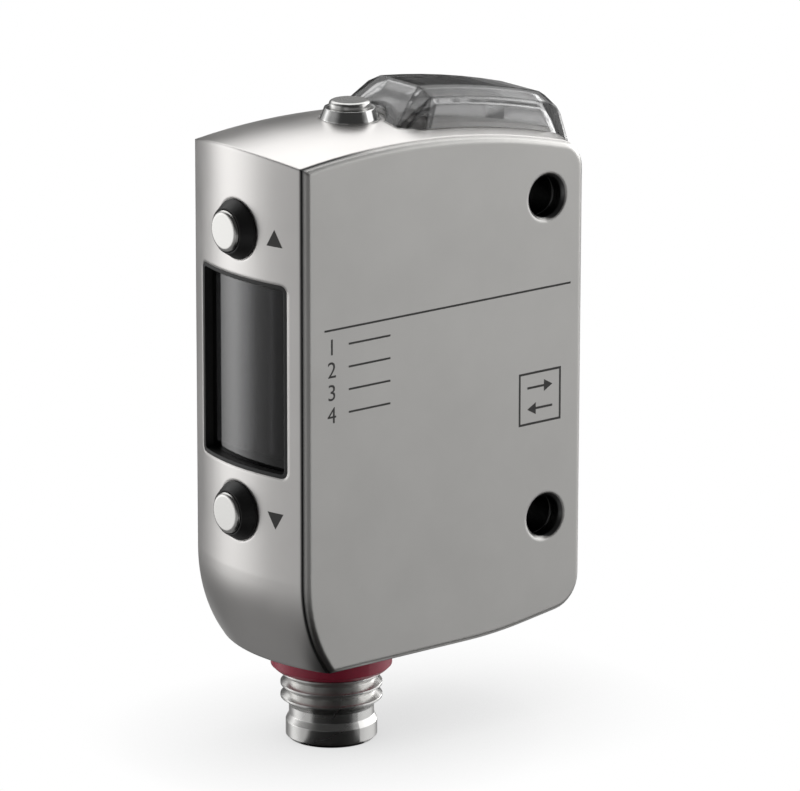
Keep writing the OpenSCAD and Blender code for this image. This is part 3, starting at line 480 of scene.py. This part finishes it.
EVEN_GRAIN = (9000, 9000, 9000)
LONG_GRAIN = (9000, 900, 9000)
SMALL_PART_GRAIN = (7000, 7000, 7000)
case_steel = satin_steel("case_steel", (0.68, 0.665, 0.65), 0.3, EVEN_GRAIN, 0.35, housing=True)
cover_steel = satin_steel("cover_steel", (0.605, 0.597, 0.58), 0.34, LONG_GRAIN, 0.3, housing=True)
cap_steel = satin_steel("cap_steel", (0.62, 0.615, 0.60), 0.24, SMALL_PART_GRAIN, 0.12)
collar_steel = satin_steel("collar_steel", (0.70, 0.70, 0.69), 0.15, SMALL_PART_GRAIN, 0.1)
plug_nickel = satin_steel("plug_nickel", (0.72, 0.715, 0.70), 0.28, SMALL_PART_GRAIN, 0.08)
pin_gold = satin_steel("pin_gold", (0.83, 0.64, 0.30), 0.2, SMALL_PART_GRAIN, 0.05)
print("steels:", case_steel.name, cover_steel.name, cap_steel.name, collar_steel.name)

# %% [markdown]
# ## Plastics and rubber
#
# Moulded plastic is never one flat colour: its gloss wanders a little and a fine grain breaks
# the light. One helper makes them all from a colour, a roughness and a grain depth.

# %% Make the plastics
SPECKLE_SCALE = 5200
SPECKLE_TINT = (0.9, 1.12)
SPECKLE_SPREAD = 0.05
SPECKLE_DEPTH = 0.03 * MM


def moulded(name, color, roughness, grain, edge=0.1):
    """Opaque plastic or rubber with a fine moulded grain."""
    material, tree, surface = new_material(name)
    place = add_node(tree, "ShaderNodeTexCoord")
    speckle = add_node(tree, "ShaderNodeTexNoise", Scale=SPECKLE_SCALE, Detail=2.0)
    join(tree, place, speckle.inputs["Vector"], "Object")
    tint = mottled(tree, speckle, color, *SPECKLE_TINT)
    tree.links.new(tint, surface.inputs["Base Color"])
    wander_roughness(tree, surface, speckle, roughness - SPECKLE_SPREAD, roughness + SPECKLE_SPREAD)
    grain_and_edges(tree, surface, speckle, grain, SPECKLE_DEPTH, edge, samples=4)
    return material


black_rubber = moulded("black_rubber", (0.018, 0.018, 0.018), 0.45, 0.3)
grey_rubber = moulded("grey_rubber", (0.3, 0.3, 0.3), 0.5, 0.3)
black_plastic = moulded("black_plastic", (0.022, 0.022, 0.024), 0.35, 0.2)
red_plastic = moulded("red_plastic", (0.6, 0.045, 0.1), 0.3, 0.1)
board_green = moulded("board_green", (0.02, 0.13, 0.06), 0.3, 0.1)
chip_black = moulded("chip_black", (0.02, 0.02, 0.022), 0.5, 0.3)
lamp_cream = moulded("lamp_cream", (0.82, 0.76, 0.5), 0.3, 0.1)
flex_amber = moulded("flex_amber", (0.5, 0.27, 0.06), 0.25, 0.05)
dark_filter = moulded("dark_filter", (0.03, 0.004, 0.006), 0.06, 0.02, 0.05)
print("plastics:", black_rubber.name, red_plastic.name, dark_filter.name)

# %% [markdown]
# ## Smoked and clear plastic
#
# The display window and the indicator are smoked: light passes, but less of it at each face.
# A clear surface with a grey tint does this, and bends what lies behind as real plastic does.

# %% Make the clear plastics
HAZE_SCALE = 900
HAZE_SPREAD = 0.03


def smoked(name, tint, roughness, bend=1.49):
    """Clear plastic that takes some light at each face it passes."""
    material, tree, surface = new_material(name)
    place = add_node(tree, "ShaderNodeTexCoord")
    haze = add_node(tree, "ShaderNodeTexNoise", Scale=HAZE_SCALE, Detail=2.0)
    join(tree, place, haze.inputs["Vector"], "Object")
    wander_roughness(tree, surface, haze, roughness, roughness + HAZE_SPREAD)
    surface.inputs["Base Color"].default_value = (*tint, 1)
    surface.inputs["Transmission Weight"].default_value = 1
    surface.inputs["IOR"].default_value = bend
    return material


def surface_of(material):
    """The surface shader of a finished material."""
    nodes = material.node_tree.nodes
    return next(node for node in nodes if node.type == "BSDF_PRINCIPLED")


smoked_window = smoked("smoked_window", (0.2, 0.2, 0.21), 0.05)
lens_glass = smoked("lens_glass", (0.93, 0.95, 0.96), 0.01, 1.52)
clear_guide = smoked("clear_guide", (0.95, 0.95, 0.95), 0.2)
print("clear:", smoked_window.name, lens_glass.name, clear_guide.name)

# %% [markdown]
# ## The display window's fade
#
# The display window is a bent plate of smoked plastic over a dark display. It mirrors the room
# on the side away from the label face and is nearly black beside it. How strongly clear plastic
# mirrors follows from its index of refraction, so that number falls across the window.

# %% Let the window's shine fall off across its width
WINDOW_BEND = (2.7, 1.42)
FADE_SHARE = 0.62
tree = smoked_window.node_tree
window_low, window_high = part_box("display_window")
fade_end = window_low.x + FADE_SHARE * (window_high.x - window_low.x)
axes = add_node(tree, "ShaderNodeSeparateXYZ")
join(tree, add_node(tree, "ShaderNodeTexCoord"), axes.inputs[0], "Object")
falling = ramp(tree, axes.outputs["X"], (window_low.x, fade_end), WINDOW_BEND)
tree.links.new(falling, surface_of(smoked_window).inputs["IOR"])
print("window from", round(window_low.x / MM, 2), "to", round(window_high.x / MM, 2), "mm")

# %% [markdown]
# ## The indicator's plastic
#
# The indicator is smoked too, and it is drawn by its edges. A moulded edge is round, and round
# clear plastic bends the view behind it away, so each edge looks like a dark line. That line is
# painted shade: the shader rounds the edges itself, and where the rounded direction turns from the
# flat one, there is an edge, and the tint is painted dark. The top lies over the boards, so less
# light comes up through it, and that shade is painted into the tint of faces that look up.

# %% Paint shade into the indicator's tint at its edges and on top
SMOKE = 0.55
EDGE_SHADE_TINT = 0.04
TOP_SHADE_TINT = 0.12
EDGE_ROUNDING = 0.35 * MM
EDGE_LIKENESS = (0.995, 0.9995)
TOP_FACING = (0.75, 0.97)
INDICATOR_SHINE = 0.3
smoked_indicator = smoked("smoked_indicator", (SMOKE, SMOKE, SMOKE), 0.09)
tree = smoked_indicator.node_tree
surface = surface_of(smoked_indicator)
rounded = add_node(tree, "ShaderNodeBevel", samples=6, Radius=EDGE_ROUNDING)
flat = add_node(tree, "ShaderNodeNewGeometry")
likeness = add_node(tree, "ShaderNodeVectorMath", operation="DOT_PRODUCT")
join(tree, rounded, likeness.inputs[0])
join(tree, flat, likeness.inputs[1], "Normal")
painted_edge_shade = ramp(tree, likeness.outputs["Value"], EDGE_LIKENESS, (EDGE_SHADE_TINT, 1), eased=True)
own_space = add_node(tree, "ShaderNodeTexCoord")
facing = add_node(tree, "ShaderNodeSeparateXYZ")
join(tree, own_space, facing.inputs[0], "Normal")
painted_top_shade = ramp(tree, facing.outputs["Z"], TOP_FACING, (SMOKE, TOP_SHADE_TINT), eased=True)
# The smoked tint times the painted shade at the edges and on top.
tint = calculate(tree, "MULTIPLY", painted_edge_shade, painted_top_shade)
tree.links.new(tint, surface.inputs["Base Color"])
join(tree, rounded, surface.inputs["Normal"])
surface.inputs["Specular IOR Level"].default_value = INDICATOR_SHINE
print("smoke", SMOKE, "at the edges times", EDGE_SHADE_TINT, "on top", TOP_SHADE_TINT)

# %% [markdown]
# ## Paint the CAD nodes
#
# A node whose shape is right stays and only gets its finish. The table says which node has
# which finish, and the loop puts it in the first material slot.

# %% Give each node its finish
FINISHES = {
    case_steel: ["main_case"],
    cover_steel: ["side_cover"],
    cap_steel: ["up_button", "down_button", "set_button"],
    collar_steel: ["set_collar"],
    plug_nickel: ["connector_shell"],
    pin_gold: ["contact_pins", "laser_diode"],
    black_rubber: ["cover_seal", "window_gasket", "display_gasket", "button_seals"],
    grey_rubber: ["indicator_seal"],
    black_plastic: [
        "optics_holder", "digit_module", "face_switches", "set_switch", "connector_insert",
    ],
    red_plastic: ["connector_ring"],
    board_green: ["sensor_board", "main_board", "display_board", "top_board", "connector_board"],
    chip_black: ["image_sensor", "board_chips"],
    lamp_cream: ["indicator_leds"],
    flex_amber: ["display_flex", "top_flex", "sensor_flex", "connector_flex"],
    dark_filter: ["lens_window"],
    smoked_window: ["display_window"],
    smoked_indicator: ["indicator_cover"],
    lens_glass: ["emitter_lens", "receiver_lens"],
    clear_guide: ["light_guide"],
}
painted = set()
for finish, names in FINISHES.items():
    for name in names:
        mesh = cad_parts[name].data
        mesh.materials.clear()
        mesh.materials.append(finish)
        painted.add(name)
left = sorted(set(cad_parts) - painted)
print("painted", len(painted), "of", len(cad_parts), "left:", left)

# %% [markdown]
# ## Clean the indicator's faces
#
# The indicator's faces come as many small triangles with split corners. Through clear plastic
# every one of them would show. Three modifiers tidy them up: one joins the corners, one merges
# triangles that lie flat, and one keeps the real edges sharp.

# %% Add the modifiers
SAME_PLACE = 0.001 * MM
FLAT_ANGLE = math.radians(1.2)
SHARP_ANGLE = math.radians(14)
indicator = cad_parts["indicator_cover"]
welded = indicator.modifiers.new("join_corners", "WELD")
welded.merge_threshold = SAME_PLACE
merged = indicator.modifiers.new("merge_flats", "DECIMATE")
merged.decimate_type = "DISSOLVE"
merged.angle_limit = FLAT_ANGLE
creased = indicator.modifiers.new("keep_edges", "EDGE_SPLIT")
creased.split_angle = SHARP_ANGLE
print("modifiers:", ", ".join(m.name for m in indicator.modifiers))

# %% [markdown]
# ## Marks on the steel
#
# The housing carries fine grey laser marks, and they are kept plain. A triangle by each face
# button tells up from down, and the label face has a column of numbers for the plug's contacts.
# A laser mark has no height to speak of, so each one is a flat shape that floats a few
# thousandths of a millimetre over the steel: enough for a ray to find it first.

# %% Make the mark's finish and its helper
MARK_LIFT = 0.004 * MM
laser_grey = moulded("laser_grey", (0.09, 0.088, 0.085), 0.6, 0.1)


def flat_shape(name, points, faces, place, body="housing"):
    """A mesh from 2-D points; place turns a 2-D point into its place on the steel."""
    mesh = bpy.data.meshes.new(name)
    mesh.from_pydata([place(u, v) for u, v in points], [], faces)
    mesh.update()
    mesh.materials.append(laser_grey)
    shape = bpy.data.objects.new(name, mesh)
    bpy.context.scene.collection.objects.link(shape)
    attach(shape, body)


print("marks float", MARK_LIFT / MM, "mm over the steel")

# %% [markdown]
# ## Marks by the buttons
#
# The display face is an arc in plan. Its radius follows from three points of it: its middle and
# its two ends, which are half the case's width away. Each mark is drawn flat, as width and
# height, and then laid on the arc.

# %% Find the arc of the display face
case_low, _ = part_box("main_case")
half_width = -case_low.x
face_y = case_low.y
BULGE = 1.35 * MM
face_radius = (half_width ** 2 + BULGE ** 2) / (2 * BULGE)
arc_centre_y = face_y + face_radius


def on_display_face(u, v):
    """The point of the display face at width u and height v, lifted off it by a hair."""
    reach = face_radius + 2 * MARK_LIFT
    return (u, arc_centre_y - math.sqrt(reach ** 2 - u ** 2), v)


print("face radius", round(face_radius / MM, 2), "mm")

# %% Put a triangle by each face button
TRIANGLE_SIDE = 1.5 * MM
MARK_OFFSET = 4.1 * MM
COLUMNS = 12
for name, node, way in (("up_mark", "up_button", 1), ("down_mark", "down_button", -1)):
    low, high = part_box(node)
    middle = (low.z + high.z) / 2
    rise = way * TRIANGLE_SIDE * math.sqrt(3) / 2
    points = []
    for k in range(COLUMNS + 1):
        across = 2 * k / COLUMNS - 1
        u = MARK_OFFSET + across * TRIANGLE_SIDE / 2
        points += [(u, middle - rise / 2), (u, middle - rise / 2 + rise * (1 - abs(across)))]
    faces = [(2 * k, 2 * k + 2, 2 * k + 3, 2 * k + 1) for k in range(COLUMNS)]
    flat_shape(name, points, faces, on_display_face)
    print(name, "at height", round(middle / MM, 2), "mm")

# %% [markdown]
# ## Marks on the label face
#
# The label face is a plane at the greatest X. Strokes are thin rectangles: a long rule runs
# across it, a column of plain numbers below has a short rule beside each, and a small frame with
# two arrows stands to the right. The numbers are text, turned into meshes once their place is
# known.

# %% Put the rules on the label face
label_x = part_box("side_cover")[1].x


def on_label(u, v):
    """The point of the label face at depth u along Y and height v."""
    return (label_x + MARK_LIFT, u, v)


def rectangle(y_low, z_low, y_high, z_high):
    """The corners of an upright rectangle, in millimetres."""
    return [(y_low, z_low), (y_high, z_low), (y_high, z_high), (y_low, z_high)]


def strokes(name, outlines):
    """Several flat outlines, given in millimetres, as one piece on the label face."""
    points, faces = [], []
    for outline in outlines:
        faces.append(tuple(range(len(points), len(points) + len(outline))))
        points += [(u * MM, v * MM) for u, v in outline]
    flat_shape(name, points, faces, on_label)


ROW_HEIGHTS = (4.3, 2.53, 0.77, -1.0)
NUMBER_Y = -20.9
RULE = 0.16
SHORT_RULE = (NUMBER_Y + 1.6, NUMBER_Y + 5.6)
LONG_RULE = (-21.6, 2.4)
LONG_RULE_HEIGHT = 5.6


def rule(ends, z):
    """A level stroke between two places along Y."""
    return rectangle(ends[0], z - RULE / 2, ends[1], z + RULE / 2)


rules = [rule(SHORT_RULE, z) for z in ROW_HEIGHTS] + [rule(LONG_RULE, LONG_RULE_HEIGHT)]
strokes("wire_rules", rules)
print("rules:", len(rules))

# %% Put the framed arrows
FRAME_Y, FRAME_Z, FRAME_SIDE, STROKE = -0.6, -3.0, 4.2, 0.18
ARROW_ENDS = (-1.25, 0.4, 1.25)
ARROW_HALF_WIDTH = 0.48
ARROW_RISE = 0.85
y0, y1 = FRAME_Y - FRAME_SIDE / 2, FRAME_Y + FRAME_SIDE / 2
z0, z1 = FRAME_Z - FRAME_SIDE / 2, FRAME_Z + FRAME_SIDE / 2
frame_sides = [
    rectangle(y0, z0, y1, z0 + STROKE),
    rectangle(y0, z1 - STROKE, y1, z1),
    rectangle(y0, z0 + STROKE, y0 + STROKE, z1 - STROKE),
    rectangle(y1 - STROKE, z0 + STROKE, y1, z1 - STROKE),
]


def arrow(z, way):
    """A shaft and its head, pointing along +Y or -Y."""
    tail, neck, tip = (FRAME_Y + way * end for end in ARROW_ENDS)
    shaft = rectangle(min(tail, neck), z - STROKE / 2, max(tail, neck), z + STROKE / 2)
    return [shaft, [(neck, z - ARROW_HALF_WIDTH), (tip, z), (neck, z + ARROW_HALF_WIDTH)]]


arrows = arrow(FRAME_Z + ARROW_RISE, 1) + arrow(FRAME_Z - ARROW_RISE, -1)
strokes("beam_sign", frame_sides + arrows)
print("frame of", FRAME_SIDE, "mm")

# %% Put the numbers
NUMBER_HEIGHT = 1.25
DIGIT_SHARE = 0.7
for k, z in enumerate(ROW_HEIGHTS):
    words = bpy.data.curves.new("wire_number_%d" % (k + 1), "FONT")
    words.body = str(k + 1)
    words.size = NUMBER_HEIGHT * MM / DIGIT_SHARE
    words.align_x = "CENTER"
    words.resolution_u = 4
    number = bpy.data.objects.new(words.name, words)
    bpy.context.scene.collection.objects.link(number)
    bpy.context.view_layer.update()
    drawn = bpy.data.meshes.new_from_object(number)
    bpy.data.objects.remove(number)
    base_z = (z - NUMBER_HEIGHT / 2) * MM
    for corner in drawn.vertices:
        corner.co = on_label(NUMBER_Y * MM + corner.co.x, base_z + corner.co.y)
    drawn.materials.clear()
    drawn.materials.append(laser_grey)
    piece = bpy.data.objects.new("wire_number_%d" % (k + 1), drawn)
    bpy.context.scene.collection.objects.link(piece)
    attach(piece, "housing")
print("numbers 1 to", len(ROW_HEIGHTS))

# %% [markdown]
# ## Finish
#
# The last cell prints how far the dressed box grew past the CAD box, so that any piece that grew
# past the solids shows up.

# %% Print how far the box grew
new_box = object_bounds()
grown = [round((new_box[i][k] - cad_box[i][k]) / MM, 3) for i in (0, 1) for k in range(3)]
print("grown by", grown)
